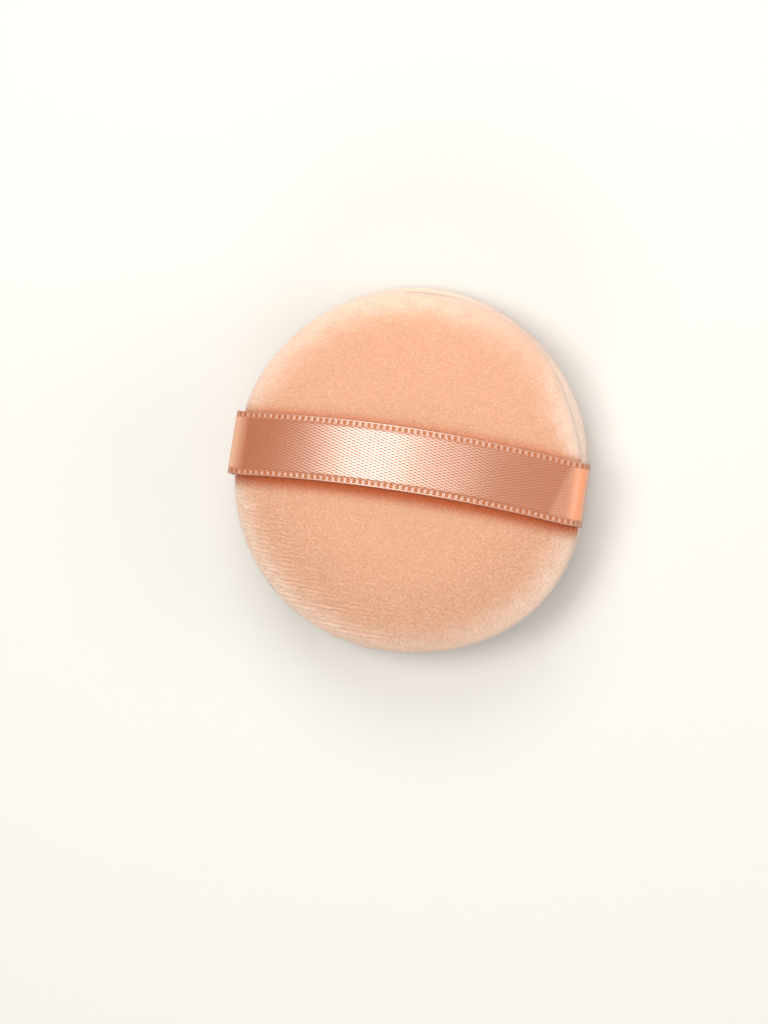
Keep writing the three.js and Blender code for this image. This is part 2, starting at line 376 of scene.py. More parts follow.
def makeGroundMaterial():
    material, tree, shader = newMaterial("velourGround")
    place = addNode(tree, "ShaderNodeTexCoord").outputs["Object"]
    streakShare = addNode(tree, "ShaderNodeAttribute", attribute_name="streakShare").outputs["Fac"]
    amount = addNode(tree, "ShaderNodeAttribute", attribute_name="tuftAmount").outputs["Fac"]
    tufted, spare = addTufts(tree, place, streakShare, amount)
    shade = addMath(tree, "ADD", tufted, 0.5)
    tone = addNode(tree, "ShaderNodeAttribute", attribute_name="pileTone").outputs["Fac"]
    # the pile's colour with its painted shadow and painted sheen
    dyeAndPaintedLight = paintedLightRamp(tree, tone, "root")
    # mottled colour: partly patchy tone, partly painted shade among the tufts
    mottled = mixColours(tree, shade, velourLook["darkFibreAndTuftShade"], colour(1, 1, 1))
    tree.links.new(mixColours(tree, 1.0, dyeAndPaintedLight, mottled, "MULTIPLY"), shader.inputs["Base Color"])
    bump = addNode(tree, "ShaderNodeBump", {"Height": shade, "Strength": 0.5, "Distance": 0.1 * mm})
    tree.links.new(bump.outputs["Normal"], shader.inputs["Normal"])
    shader.inputs["Roughness"].default_value = 0.9
    shader.inputs["Specular IOR Level"].default_value = 0.2
    shader.inputs["Sheen Weight"].default_value = velourLook["sheen"]
    shader.inputs["Sheen Roughness"].default_value = velourLook["sheenRoughness"]
    shader.inputs["Sheen Tint"].default_value = velourLook["sheenTint"]
    return material


def makePileMaterial():
    material, tree, shader = newMaterial("velourPile")
    along = addNode(tree, "ShaderNodeAttribute", attribute_name="alongFibre").outputs["Fac"]
    shade = addNode(tree, "ShaderNodeAttribute", attribute_name="fibreShade").outputs["Fac"]
    tone = addNode(tree, "ShaderNodeAttribute", attribute_name="toneLevel").outputs["Fac"]
    near = addMath(tree, "POWER", along, velourLook["tipPower"])
    tone = mixColours(tree, near, paintedLightRamp(tree, tone, "root"), paintedLightRamp(tree, tone, "tip"))
    # mottled colour: partly patchy tone, partly painted shade among the tufts
    shaded = mixColours(tree, shade, velourLook["darkFibreAndTuftShade"], colour(1, 1, 1))
    tree.links.new(mixColours(tree, 1.0, tone, shaded, "MULTIPLY"), shader.inputs["Base Color"])
    shader.inputs["Roughness"].default_value = 0.7
    shader.inputs["Specular IOR Level"].default_value = 0.25
    shader.inputs["Sheen Weight"].default_value = velourLook["sheen"]
    shader.inputs["Sheen Roughness"].default_value = velourLook["sheenRoughness"]
    shader.inputs["Sheen Tint"].default_value = velourLook["sheenTint"]
    return material


groundMaterial = makeGroundMaterial()
pileMaterial = makePileMaterial()


# The ribbon's sizes, which the pile beside it follows too

ribbon = {
    "width": 10 * mm,
    "thickness": 0.2 * mm,
    "selvedgeWidth": 1.1 * mm,
    "crownGap": 1.6 * mm,
    "shoulderDrop": 5 * mm,
    "turnRadius": 2.4 * mm,
    "rimGap": 0.4 * mm,
    "pull": 0.7 * mm,  # drawn into the soft rim
    "nodeThickness": 0.3 * mm,
    "footRadius": 0.4 * mm,
    "tailEnd": 23.6 * mm,
    "lean": 8.0,
    "bow": 1.2 * mm,
    "leanHeight": 3.0 * mm,
    "step": 0.22 * mm,
    "ripple": 0.05 * mm,
}


# Covers: grown ring by ring from the raw edge in the seam, swollen as cloth, then ribbed

cover = {
    "ringCorners": 120,
    "rawEdgeRadius": 23.7 * mm,
    "grooveDepth": 1.3 * mm,
    "lipHeight": 3.6 * mm,
    "crownPower": 2.1,
    "restFlatRadius": 14 * mm,
    "seamGap": 0.06 * mm,  # half of the gap between the two covers
    "fabric": 1.1 * mm,
    "foldedFabricShare": 0.36,
    "pileHeight": 0.28 * mm,
    "slack": 0.55 * mm,  # how much smaller than its size the cover starts
    "allowanceSteps": 3,
    "lipSteps": 5,
    "domeSteps": 12,
    "capShare": 0.56,  # inside this share of the radius the crown is a grid
    "swellCap": 1.2 * mm,
    "simScale": 10.0,
    "simFrames": 20,
    "rimShifts": (
        # degrees round the pad, how far the rim stands out, how wide the swelling is in degrees
        (-37.0, 1.25 * mm, 30.0),
        (-125.0, 0.45 * mm, 28.0),
        (97.0, 0.30 * mm, 30.0),
        (0.0, -0.75 * mm, 11.0),
        (180.0, -0.75 * mm, 11.0),
    ),
    "frontShifts": (  # the ribbon side is drawn in here, and shows the other cover past it
        (93.0, -0.55 * mm, 15.0),
        (24.0, -0.95 * mm, 15.0),
        (58.0, 0.35 * mm, 16.0),
    ),
    "ribPitch": 0.92 * mm,
    "ribDepth": 0.09 * mm,
    "napDepth": 0.06 * mm,
    "napSize": 1.3 * mm,
}


def domePoint(angle, outerRadius, innerRadius, base, rise):
    power = 2 / cover["crownPower"]
    across = max(0.0, math.cos(angle)) ** power
    return innerRadius + (outerRadius - innerRadius) * across, base + rise * math.sin(angle) ** power


def domeHeight(radius, outerRadius, innerRadius, base, rise):
    if radius <= innerRadius:
        return base + rise
    share = min(1.0, (radius - innerRadius) / (outerRadius - innerRadius))
    return base + rise * (1 - share ** cover["crownPower"]) ** (1 / cover["crownPower"])


def coverRings(rise, flatRadius):  # radius and height of each ring, from the raw edge inwards
    outer = padAcross - cover["pileHeight"] - cover["slack"]
    groove = padAcross - cover["grooveDepth"] - cover["pileHeight"]
    rings = []
    for step in range(cover["allowanceSteps"]):
        share = step / cover["allowanceSteps"]
        radius = cover["rawEdgeRadius"] + (groove - cover["rawEdgeRadius"]) * share
        rings.append((radius, cover["seamGap"]))
    for step in range(cover["lipSteps"]):
        angle = math.pi / 2 * step / cover["lipSteps"]
        height = cover["lipHeight"] + (cover["seamGap"] - cover["lipHeight"]) * math.cos(angle)
        rings.append((groove + (outer - groove) * math.sin(angle), height))
    capRadius = outer * cover["capShare"]
    steps = cover["domeSteps"]
    last = math.acos(((capRadius - flatRadius) / (outer - flatRadius)) ** (cover["crownPower"] / 2))
    for step in range(steps + 1):
        angle = last * step / steps
        rings.append(domePoint(angle, outer, flatRadius, cover["lipHeight"], rise - cover["lipHeight"]))
    return rings, outer


def growCover(name, rise, flatRadius):
    rings, outer = coverRings(rise, flatRadius)
    clearSelection()
    bpy.ops.mesh.primitive_circle_add(
        vertices=cover["ringCorners"], radius=rings[0][0], fill_type="NOTHING",
        location=(0, 0, rings[0][1]))
    piece = bpy.context.object
    piece.name = name
    placeInMesh(piece)
    bpy.ops.object.mode_set(mode="EDIT")
    bpy.ops.mesh.select_all(action="SELECT")
    for (radius, height), (nextRadius, nextHeight) in zip(rings, rings[1:]):
        bpy.ops.mesh.extrude_region_move(
            TRANSFORM_OT_translate={"value": (0, 0, nextHeight - height)})
        share = nextRadius / radius
        bpy.ops.transform.resize(value=(share, share, 1), center_override=(0, 0, 0))
    bpy.ops.mesh.fill_grid(span=cover["ringCorners"] // 4, use_interp_simple=True)
    bpy.ops.mesh.select_all(action="SELECT")
    bpy.ops.mesh.normals_make_consistent(inside=False)
    bpy.ops.object.mode_set(mode="OBJECT")
    capRadius = rings[-1][0]
    crownRise = rise - cover["lipHeight"]

    def onDome(co):
        radius = math.hypot(co.x, co.y)
        if co.z > cover["lipHeight"] and radius < capRadius * 0.999:
            height = domeHeight(radius, outer, flatRadius, cover["lipHeight"], crownRise)
            return Vector((co.x, co.y, height))
        return co

    moveVertices(piece, onDome)
    return piece


def swell(piece):  # air pressure under the cover, held at its seam
    makeActive(piece)
    start = [vertex.co.copy() for vertex in piece.data.vertices]
    held = piece.vertex_groups.new(name="seam")
    groove = padAcross - cover["grooveDepth"] - cover["pileHeight"] + 0.05 * mm
    pinned = [v.index for v in piece.data.vertices
              if math.hypot(v.co.x, v.co.y) < groove and v.co.z < cover["seamGap"] * 2]
    held.add(pinned, 1.0, "REPLACE")
    scale = cover["simScale"]
    piece.data.transform(Matrix.Scale(scale, 4))
    cloth = piece.modifiers.new("Cloth", "CLOTH")
    settings = cloth.settings
    settings.quality = 6
    settings.mass = 0.3
    settings.tension_stiffness = 40
    settings.compression_stiffness = 40
    settings.shear_stiffness = 20
    settings.bending_stiffness = 4
    settings.vertex_group_mass = "seam"
    settings.use_pressure = True
    settings.uniform_pressure_force = 4
    settings.effector_weights.gravity = 0
    cloth.collision_settings.use_self_collision = False
    cloth.point_cache.frame_start = 1
    cloth.point_cache.frame_end = cover["simFrames"]
    for number in range(1, cover["simFrames"] + 1):
        bpy.context.scene.frame_set(number)
    makeActive(piece)
    bpy.ops.object.modifier_apply(modifier=cloth.name)
    bpy.context.scene.frame_set(1)
    piece.data.transform(Matrix.Scale(1 / scale, 4))
    widest = 0.0
    for vertex, first in zip(piece.data.vertices, start):
        shift = vertex.co - first
        widest = max(widest, shift.length)
        if shift.length > cover["swellCap"]:
            vertex.co = first + shift * (cover["swellCap"] / shift.length)
    print(piece.name, "swelled by up to", round(widest / mm, 2), "mm")


def shiftAt(co, centre, shift, spread):
    angle = math.degrees(math.atan2(co.y, co.x))
    away = (angle - centre + 180) % 360 - 180
    return shift * math.exp(-((away / spread) ** 2))


def rimShift(co):  # the soft rim is not quite round, and the ribbon draws it in
    return sum(shiftAt(co, *place) for place in cover["rimShifts"])


def makeCover(name, rise, flatRadius, upward):
    bare = rise - cover["pileHeight"]
    piece = growCover(name, bare - (0 if flatRadius else cover["slack"]), flatRadius)
    swell(piece)
    top = max(vertex.co.z for vertex in piece.data.vertices)
    widest = max(math.hypot(v.co.x, v.co.y) for v in piece.data.vertices)
    print(name, "crown", round(top / mm, 2), "radius", round(widest / mm, 2))
    aim = padAcross - cover["pileHeight"]
    alongShare = padAlong / padAcross

    def fitted(co):
        lift = easeIn(co.z, cover["seamGap"] * 2, cover["lipHeight"])
        outShare = 1 + (aim / widest - 1) * lift
        height = co.z * (1 + (bare / top - 1) * lift)
        if flatRadius:
            height = min(height, bare)
        radius = math.hypot(co.x, co.y)
        shift = rimShift(co)
        if upward:
            shift += lift * sum(shiftAt(co, *place) for place in cover["frontShifts"])
        outShare += shift / aim * easeIn(radius, 0.45 * aim, 0.95 * aim)
        return Vector((co.x * alongShare * outShare, co.y * outShare, height))

    moveVertices(piece, fitted)
    if not upward:
        moveVertices(piece, lambda co: Vector((co.x, co.y, -co.z)))
        makeActive(piece)
        bpy.ops.object.mode_set(mode="EDIT")
        bpy.ops.mesh.select_all(action="SELECT")
        bpy.ops.mesh.flip_normals()
        bpy.ops.object.mode_set(mode="OBJECT")
    moveVertices(piece, lambda co: Vector((co.x, co.y, co.z + seamHeight)))
    addModifier(piece, "SUBSURF", levels=2, render_levels=2)
    ribCover(piece)
    return piece


def ribHeight(co):
    wander = noise.noise(Vector((co.x, co.y, co.z)) / (4 * mm)) * 0.35
    phase = 2 * math.pi * (co.y / cover["ribPitch"] + wander)
    strength = 0.5 + 0.5 * noise.noise(co / (9 * mm) + Vector((7, 3, 5)))
    return math.sin(phase) * strength * streakAt(co)


def streakAt(co):  # the wales show most towards the rim on the left
    outward = easeIn(math.hypot(co.x, co.y), 0.58 * padAcross, 0.88 * padAcross)
    leftward = easeIn(-co.x / padAlong, -0.35, 0.3)
    downward = easeIn(-co.y / padAcross, -0.2, 0.6)
    downward *= easeIn(co.z - seamHeight, *tuft["streakHeights"])
    return tuft["streaked"] * (0.1 + 0.9 * outward) * leftward * (0.25 + 0.75 * downward)


def ribCover(piece):  # wales along the ribbon and a soft unevenness
    normals = [vertex.normal.copy() for vertex in piece.data.vertices]
    for vertex, normal in zip(piece.data.vertices, normals):
        co = vertex.co
        fade = easeIn(abs(co.z - seamHeight), 0.3 * mm, 2.5 * mm)
        rib = cover["ribDepth"] * ribHeight(co)
        nap = cover["napDepth"] * noise.noise(co / cover["napSize"])
        vertex.co = co + normal * (rib + nap) * fade
    piece.data.update()


def thicken(piece):
    folded = piece.vertex_groups.new(name="fabricThickness")
    for vertex in piece.data.vertices:
        depth = easeIn(abs(vertex.co.z - seamHeight), 0.2 * mm, 3.2 * mm)
        share = cover["foldedFabricShare"] + (1 - cover["foldedFabricShare"]) * depth
        folded.add([vertex.index], share, "REPLACE")
    addModifier(piece, "SOLIDIFY", thickness=cover["fabric"], offset=-1,
                vertex_group="fabricThickness", use_even_offset=False)
    piece.vertex_groups.clear()


# Pile: one tapered fibre, scattered over a cover and leaning with the nap

pile = {
    "fibreLength": 0.31 * mm,
    "fibreWidth": 0.07 * mm,
    "spacing": 0.12 * mm,
    "density": 50.0e6,  # fibres in a square metre
    "crownShare": 0.64,  # of the radius, where the crown's pile meets the rim's
    "lean": 0.38,
    "stray": 0.5,
    "napDirection": (-0.25, -0.9, 0.0),
    "shortest": 0.62,
    "randomShade": 0.12,
    "seed": 11,
}


def makeFibre():
    clearSelection()
    bpy.ops.mesh.primitive_cone_add(
        vertices=3, radius1=pile["fibreWidth"] / 2, radius2=0, depth=pile["fibreLength"],
        end_fill_type="NOTHING", location=(0, 0, pile["fibreLength"] / 2))
    fibre = bpy.context.object
    fibre.name = "pileFibre"
    placeInMesh(fibre)
    bpy.ops.object.shade_smooth()
    rememberAt(fibre, "alongFibre", lambda co: co.z / pile["fibreLength"])
    rememberAt(fibre, "aroundFibre", lambda co: math.atan2(co.y, co.x) / (2 * math.pi) + 0.5)
    return fibre


def buildPileTree(fibre):
    tree = bpy.data.node_groups.new("scatterPile", "GeometryNodeTree")
    tree.interface.new_socket("Geometry", in_out="INPUT", socket_type="NodeSocketGeometry")
    tree.interface.new_socket("Geometry", in_out="OUTPUT", socket_type="NodeSocketGeometry")
    given = tree.nodes.new("NodeGroupInput")
    result = tree.nodes.new("NodeGroupOutput")
    length = addNode(tree, "GeometryNodeInputNamedAttribute", {"Name": "pileLength"},
                     data_type="FLOAT").outputs["Attribute"]
    scatter = addNode(tree, "GeometryNodeDistributePointsOnFaces", {
        "Mesh": given.outputs[0], "Distance Min": pile["spacing"],
        "Density Max": pile["density"], "Density Factor": 1.0, "Seed": pile["seed"]},
        distribute_method="POISSON")
    strayWay = addNode(tree, "FunctionNodeRandomValue", {
        0: (-1, -1, -1), 1: (1, 1, 1), "Seed": pile["seed"] + 1}, data_type="FLOAT_VECTOR")
    stray = addNode(tree, "ShaderNodeVectorMath", {0: strayWay.outputs[0], "Scale": pile["stray"]},
                    operation="SCALE")
    nap = Vector(pile["napDirection"]).normalized() * pile["lean"]
    place = addNode(tree, "GeometryNodeInputPosition").outputs[0]
    streakShare = addNode(tree, "GeometryNodeInputNamedAttribute", {"Name": "streakShare"},
                          data_type="FLOAT").outputs["Attribute"]
    amount = addNode(tree, "GeometryNodeInputNamedAttribute", {"Name": "tuftAmount"},
                     data_type="FLOAT").outputs["Attribute"]
    clump, clumpColour = addTufts(tree, place, streakShare, amount)
    tuftWay = addNode(tree, "ShaderNodeVectorMath", {0: clumpColour, 1: (0.5, 0.5, 0.5)},
                      operation="SUBTRACT")
    tuftLean = addNode(tree, "ShaderNodeVectorMath", {
        0: tuftWay.outputs[0], "Scale": tuft["leanSwing"]}, operation="SCALE")
    leaned = addNode(tree, "ShaderNodeVectorMath", {0: tuftLean.outputs[0], 1: tuple(nap)},
                     operation="ADD")
    leaning = addNode(tree, "ShaderNodeVectorMath", {
        0: scatter.outputs["Normal"], 1: leaned.outputs[0]}, operation="ADD")
    way = addNode(tree, "ShaderNodeVectorMath", {0: leaning.outputs[0], 1: stray.outputs[0]},
                  operation="ADD")
    turn = addNode(tree, "FunctionNodeAlignRotationToVector", {"Vector": way.outputs[0]}, axis="Z")
    sizes = addNode(tree, "FunctionNodeRandomValue", {
        2: pile["shortest"], 3: 1.0, "Seed": pile["seed"] + 2}, data_type="FLOAT")
    grown = addMath(tree, "ADD", addMath(tree, "MULTIPLY", clump, tuft["sizeSwing"]), 1.0)
    size = addMath(tree, "MULTIPLY", addMath(tree, "MULTIPLY", sizes.outputs[1], length), grown)
    shape = addNode(tree, "GeometryNodeObjectInfo", {"Object": fibre})
    placed = addNode(tree, "GeometryNodeInstanceOnPoints", {
        "Points": scatter.outputs["Points"], "Instance": shape.outputs["Geometry"],
        "Rotation": turn.outputs["Rotation"], "Scale": size})
    randomShade = addNode(tree, "FunctionNodeRandomValue", {
        2: 0.5 - pile["randomShade"], 3: 0.5 + pile["randomShade"], "Seed": pile["seed"] + 3},
        data_type="FLOAT")
    # fibre colour follows the tufts: partly patchy tone, partly painted shade among them
    fibreShade = addMath(tree, "ADD", clump, randomShade.outputs[1])
    fibreShade = addMath(tree, "MAXIMUM", addMath(tree, "MINIMUM", fibreShade, 1.0), 0.0)
    shaded = addNode(tree, "GeometryNodeStoreNamedAttribute", {
        "Geometry": placed.outputs["Instances"], "Name": "fibreShade",
        "Value": fibreShade}, data_type="FLOAT", domain="INSTANCE")
    levels = velourLook["paintedLightLevels"] - 1
    tone = addNode(tree, "GeometryNodeInputNamedAttribute", {"Name": "pileTone"}, data_type="FLOAT")
    dither = addNode(tree, "FunctionNodeRandomValue", {
        2: -0.5, 3: 0.5, "Seed": pile["seed"] + 4}, data_type="FLOAT")
    scaled = addMath(tree, "MULTIPLY_ADD", tone.outputs["Attribute"], levels)
    tree.links.new(dither.outputs[1], scaled.node.inputs[2])
    whole = addMath(tree, "MAXIMUM", addMath(tree, "MINIMUM", addMath(tree, "ROUND", scaled), levels), 0.0)
    toned = addNode(tree, "GeometryNodeStoreNamedAttribute", {
        "Geometry": shaded.outputs["Geometry"], "Name": "toneLevel",
        "Value": addMath(tree, "DIVIDE", whole, levels)}, data_type="FLOAT", domain="INSTANCE")
    real = addNode(tree, "GeometryNodeRealizeInstances", {"Geometry": toned.outputs["Geometry"]})
    shade = addNode(tree, "GeometryNodeInputNamedAttribute", {"Name": "fibreShade"}, data_type="FLOAT")
    along = addNode(tree, "GeometryNodeInputNamedAttribute", {"Name": "alongFibre"}, data_type="FLOAT")
    around = addNode(tree, "GeometryNodeInputNamedAttribute", {"Name": "aroundFibre"}, data_type="FLOAT")
    sideways = addMath(tree, "MULTIPLY", around.outputs["Attribute"], 0.04)
    mapAcross = addMath(tree, "MULTIPLY_ADD", shade.outputs["Attribute"], 0.95)
    tree.links.new(sideways, mapAcross.node.inputs[2])
    level = addNode(tree, "GeometryNodeInputNamedAttribute", {"Name": "toneLevel"}, data_type="FLOAT")
    row = addMath(tree, "MULTIPLY_ADD", level.outputs["Attribute"], levels)
    tree.links.new(addMath(tree, "MULTIPLY", along.outputs["Attribute"], 0.95), row.node.inputs[2])
    mapUp = addMath(tree, "DIVIDE", row, velourLook["paintedLightLevels"])  # one row of the map for each level of painted light and shade
    spot = addNode(tree, "ShaderNodeCombineXYZ", {"X": mapAcross, "Y": mapUp})
    mapped = addNode(tree, "GeometryNodeStoreNamedAttribute", {
        "Geometry": real.outputs["Geometry"], "Name": "OFBake", "Value": spot.outputs[0]},
        data_type="FLOAT2", domain="CORNER")
    tree.links.new(mapped.outputs["Geometry"], result.inputs[0])
    return tree


# the pile's colour is painted with light and shade: the ribbon's shadow, the rim's sheen and the groove's
# shade
tone = {
    "sideReach": 1.7 * mm,  # how far the painted ribbon shadow reaches past its edges
    "lowerReach": 2.8 * mm,
    # how strongly the ribbon's shadow is painted on the pile
    "ribbonShadow": 0.58,
    "rimFrom": 0.75,  # shares of the radius
    "rimTo": 1.03,
    # how strongly the rim's sheen is painted on the pile
    "rimPaintedSheen": 0.40,
    "rimPlaces": ((-82.0, -0.35, 34.0), (58.0, -0.50, 22.0), (20.0, 0.45, 16.0)),  # where the painted rim sheen is less or more
    "patchSize": 2.4 * mm,
    "patchShift": 0.04,
    # painted sheen on the lips beside the seam
    "lipPaintedSheen": 0.26,
    "lipReach": 5.0 * mm,
    "groovePaintedShade": (96.0, 0.8, 34.0),  # painted shade in the seam's groove, only at the top of the picture
    "grooveReach": 1.9 * mm,
    "combed": 0.8,
    "ruffled": 1.9,
}


def ribbonShadowShare(co):  # painted ribbon shadow: 1 under the ribbon, fading out beside it
    lean = math.radians(ribbon["lean"])
    height = co.z - seamHeight
    across = co.y * math.cos(lean) - height * math.sin(lean)
    across -= ribbon["bow"] * max(0.0, 1 - (co.x / padAlong) ** 2)
    half = ribbon["width"] / 2
    upper = 1 - easeIn(across, half - tone["sideReach"], half + tone["sideReach"])
    lower = easeIn(across, -half - tone["lowerReach"], -half)
    return upper * lower * easeIn(height, 0, ribbon["leanHeight"])


# painted light and shade on the pile: 0 in the ribbon's shadow, 0.5 on the crown, 1 on the rim's sheen
def paintedLightAt(co):
    patches = noise.noise(co / tone["patchSize"]) + 0.6 * noise.noise(co * 2.3 / tone["patchSize"])
    radius = math.hypot(co.x, co.y) / padAcross + tone["patchShift"] * patches
    # painted sheen towards the rim, weaker or stronger round it
    rim = easeIn(radius, tone["rimFrom"], tone["rimTo"])
    rim *= 1 + sum(shiftAt(co, *place) for place in tone["rimPlaces"])
    rim *= 1 - easeIn(abs(co.z - seamHeight), 0.6 * powderRise, 0.95 * powderRise)
    lip = 1 - easeIn(abs(co.z - seamHeight), 0.3 * tone["lipReach"], tone["lipReach"])
    # painted shade in the groove at the seam
    groove = 1 - easeIn(abs(co.z - seamHeight), 0.3 * tone["grooveReach"], tone["grooveReach"])
    paintedLightShift = tone["rimPaintedSheen"] * rim + tone["lipPaintedSheen"] * lip - shiftAt(co, *tone["groovePaintedShade"]) * groove
    # painted ribbon shadow: the colour is pulled towards 0 under and beside the ribbon
    return max(0.0, min(1.0, 0.5 + paintedLightShift - (tone["ribbonShadow"] + paintedLightShift) * ribbonShadowShare(co)))


def tuftAmountAt(co):  # the pile is combed smooth on the crown and ruffled towards the lower rim
    radius = math.hypot(co.x, co.y) / padAcross
    outward = easeIn(radius, 0.45, 0.85)
    smoothRim = easeIn(radius, 0.92, 1.0)
    downward = easeIn(-co.y / padAcross, -0.2, 0.5)
    ruffled = tone["ruffled"] * outward * downward * (1 - 0.6 * smoothRim)
    return tone["combed"] * (1 - 0.3 * smoothRim) + ruffled


def pileLengthAt(co):
    lipShare = 0.45 + 0.55 * easeIn(abs(co.z - seamHeight), 0.2 * mm, 1.6 * mm)
    return lipShare * (1 + 0.12 * noise.noise(co / (0.8 * mm)) + 0.30 * ribHeight(co))


def makePile(name, piece, tree, onCrown, floorLevel):
    clearSelection()
    fibres = piece.copy()
    fibres.data = piece.data.copy()
    fibres.name = name
    bpy.context.collection.objects.link(fibres)
    allowance = padAcross - cover["grooveDepth"] - cover["pileHeight"] - 0.3 * mm

    def inSeam(middle):
        across = math.hypot(middle.x * padAcross / padAlong, middle.y)
        return abs(middle.z - seamHeight) < 0.3 * mm and across < allowance

    def elsewhere(middle):
        inner = math.hypot(middle.x, middle.y) < pile["crownShare"] * padAcross
        return inSeam(middle) or inner != onCrown

    selectFaces(fibres, elsewhere)
    bpy.ops.mesh.delete(type="FACE")
    bpy.ops.object.mode_set(mode="OBJECT")
    rememberAt(fibres, "pileLength", pileLengthAt)
    modifier = fibres.modifiers.new("Pile", "NODES")
    modifier.node_group = tree
    bpy.ops.object.modifier_apply(modifier=modifier.name)
    if floorLevel is not None:  # the pile it rests on is pressed flat
        moveVertices(fibres, lambda co: Vector((co.x, co.y, max(co.z, floorLevel))))
    for attribute in ("aroundFibre", "pileLength", "pileTone", "streakShare", "tuftAmount"):
        if attribute in fibres.data.attributes:
            fibres.data.attributes.remove(fibres.data.attributes[attribute])
    print(name, len(fibres.data.polygons), "faces")
    return fibres


ribbonSideCover = makeCover("ribbonSideCover", padHigh.z - seamHeight, 0.0, True)
powderSideCover = makeCover(
    "powderSideCover", powderRise, cover["restFlatRadius"], False)
pileFibre = makeFibre()
pileTree = buildPileTree(pileFibre)
for coverPiece, nodeName, floorLevel in (
    (ribbonSideCover, "ribbon_side_cover", None),
    (powderSideCover, "powder_side_cover", 0.0),
):
    rememberAt(coverPiece, "pileTone", paintedLightAt)
    rememberAt(coverPiece, "streakShare", streakAt)
    rememberAt(coverPiece, "tuftAmount", tuftAmountAt)
    for place, onCrown in (("CrownPile", True), ("RimPile", False)):
        pileName = coverPiece.name.replace("Cover", place)
        fibres = makePile(pileName, coverPiece, pileTree, onCrown, floorLevel)
        finishWith(fibres, pileMaterial)
        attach(fibres, "puff")
    thicken(coverPiece)
    makeActive(coverPiece)
    bpy.ops.object.shade_smooth()
    finishWith(coverPiece, groundMaterial)
    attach(coverPiece, "puff")
    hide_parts(nodeName)
bpy.data.objects.remove(pileFibre)
print("covers and pile made")


# Ribbon: woven flat, then laid from seam to seam

legX = padAlong + ribbon["rimGap"] + ribbon["nodeThickness"] / 2 - ribbon["pull"]
crownZ = padHigh.z - seamHeight + ribbon["crownGap"] + ribbon["nodeThickness"] / 2
arcRadius = (legX ** 2 + ribbon["shoulderDrop"] ** 2) / (2 * ribbon["shoulderDrop"])
arcZ = crownZ - arcRadius
turnX = legX - ribbon["turnRadius"]
turnZ = arcZ + math.sqrt((arcRadius - ribbon["turnRadius"]) ** 2 - turnX ** 2)
arcAngle = math.atan2(turnX, turnZ - arcZ)
arcEnd = arcRadius * arcAngle
turnEnd = arcEnd + ribbon["turnRadius"] * (math.pi / 2 - arcAngle)
legEnd = turnEnd + turnZ - ribbon["footRadius"]
footEnd = legEnd + ribbon["footRadius"] * math.pi / 2
ribbonHalf = footEnd + legX - ribbon["footRadius"] - ribbon["tailEnd"]


def ribbonLine(along):  # place and outward angle from upright, at a distance from the crown
    side = 1 if along >= 0 else -1
    run = abs(along)
    if run < arcEnd:
        turn = run / arcRadius
        return side * arcRadius * math.sin(turn), arcZ + arcRadius * math.cos(turn), side * turn
    if run < turnEnd:
        turn = arcAngle + (run - arcEnd) / ribbon["turnRadius"]
        x = turnX + ribbon["turnRadius"] * math.sin(turn)
        return side * x, turnZ + ribbon["turnRadius"] * math.cos(turn), side * turn
    if run < legEnd:
        return side * legX, turnZ - (run - turnEnd), side * math.pi / 2
    if run < footEnd:
        turn = math.pi / 2 + (run - legEnd) / ribbon["footRadius"]
        x = legX + ribbon["footRadius"] * (math.sin(turn) - 1)
        return side * x, ribbon["footRadius"] * (1 + math.cos(turn)), side * turn
    return side * (legX - ribbon["footRadius"] - (run - footEnd)), 0.0, side * math.pi


def layOnRibbon(co):  # x along the ribbon, y across it and z out of it
    x, z, turn = ribbonLine(co.x)
    free = easeIn(z, 0, ribbon["leanHeight"])
    out = co.z + ribbon["ripple"] * free * noise.noise(Vector((co.x / (9 * mm), co.y / (7 * mm), 4)))
    bow = ribbon["bow"] * max(0.0, 1 - (x / turnX) ** 2)
    across = co.y + bow
    x += math.sin(turn) * out
    z += math.cos(turn) * out
    lean = math.radians(ribbon["lean"]) * free
    y = across * math.cos(lean) + z * math.sin(lean)
    z = z * math.cos(lean) - across * math.sin(lean)
    return Vector((x, y, z + seamHeight))


def rememberFlat(piece):
    flat = piece.data.attributes.new("flatPlace", "FLOAT_VECTOR", "POINT")
    for vertex in piece.data.vertices:
        flat.data[vertex.index].vector = vertex.co


def mapFlat(piece):  # front in the lower half of the map and back in the upper half
    while piece.data.uv_layers:
        piece.data.uv_layers.remove(piece.data.uv_layers[0])
    layer = piece.data.uv_layers.new(name="OFBake")
    for face in piece.data.polygons:
        back = 0.5 if face.normal.z < 0 else 0.0
        for corner in face.loop_indices:
            co = piece.data.vertices[piece.data.loops[corner].vertex_index].co
            along = 0.5 + co.x / (2 * ribbonHalf)
            layer.data[corner].uv = (along, back + 0.25 + 0.49 * co.y / ribbon["width"])


def makeWeb():
    width = ribbon["width"] - 2 * selvedge["cordRadius"]
    clearSelection()
    bpy.ops.mesh.primitive_grid_add(
        x_subdivisions=round(2 * ribbonHalf / ribbon["step"]),
        y_subdivisions=round(width / ribbon["step"]), size=1)
    web = bpy.context.object
    web.name = "satinRibbon"
    web.scale = (2 * ribbonHalf, width, 1)
    placeInMesh(web)
    addModifier(web, "SOLIDIFY", thickness=ribbon["thickness"], offset=0)

    def thinned(co):  # the web sinks between the threads of its edges
        sunk = easeIn(abs(co.y), satinLook["wovenHalf"], satinLook["dimpleHalf"])
        return Vector((co.x, co.y, co.z * (1 - 0.85 * sunk)))

    moveVertices(web, thinned)
    return web


